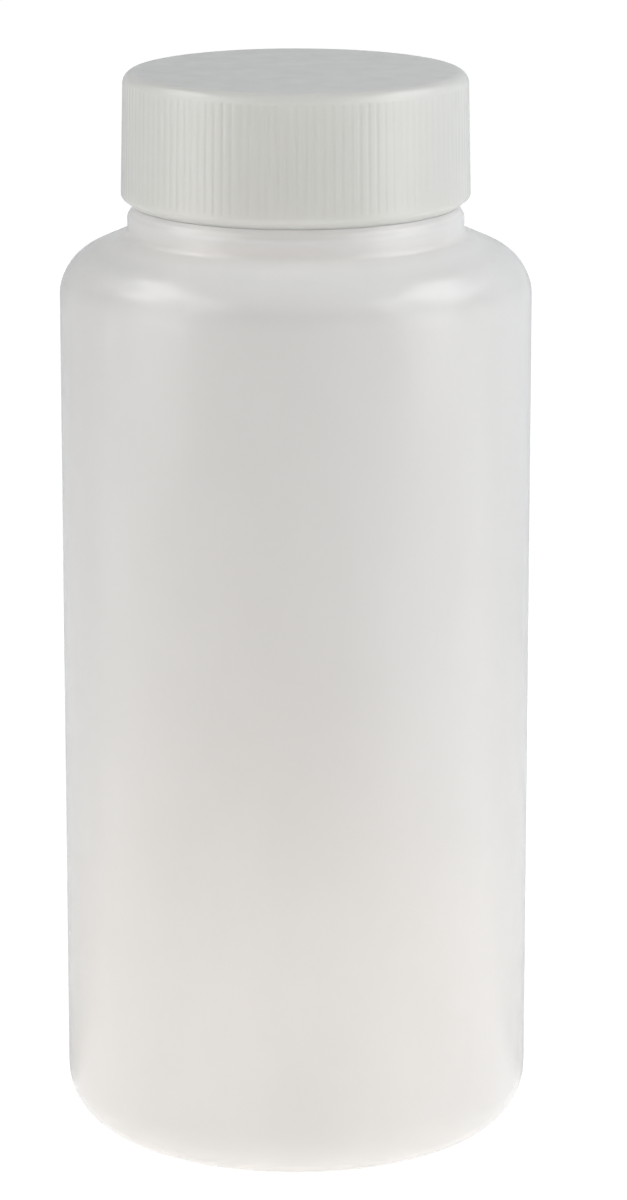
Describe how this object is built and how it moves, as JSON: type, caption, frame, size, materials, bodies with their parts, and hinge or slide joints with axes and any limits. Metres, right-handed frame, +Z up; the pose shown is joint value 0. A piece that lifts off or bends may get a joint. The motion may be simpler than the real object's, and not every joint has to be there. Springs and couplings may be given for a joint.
{
  "type": "wide-mouth reagent bottle",
  "caption": "Tall round wide-mouth plastic laboratory bottle with a sloping shoulder, a short neck and a finely ribbed screw cap over a sealing disc.",
  "frame": {"origin": "centre of the base, on the plane the bottle stands on", "axes": "+Z up along the bottle's axis, towards the cap; +X and +Y are any two square directions, because the bottle is round"},
  "size_m": [0.092, 0.092, 0.212],
  "materials": {
    "bottle_plastic": "natural blow-moulded polyethylene, milky and translucent, with a soft gloss",
    "cap_plastic": "natural injection-moulded polypropylene, milky and translucent, with a satin gloss",
    "liner_foam": "white closed-cell foam, dull"
  },
  "bodies": {
    "bottle": {"bottle": "bottle_plastic"},
    "liner": {"cap_liner": "liner_foam"},
    "cap": {"screw_cap": "cap_plastic"}
  },
  "joints": [
    {"name": "cap_lift", "type": "slide", "parent": "bottle", "child": "liner", "axis": [0, 0, 1], "range_m": [0, 0.03]},
    {"name": "cap_turn", "type": "hinge", "parent": "liner", "child": "cap", "pos_m": [0, 0, 0.2], "axis": [0, 0, 1], "range_deg": [0, 1800]}
  ],
  "couplings": [
    {"joint": "cap_lift", "follows": "cap_turn", "m_per_rad": 0.00095493}
  ]
}
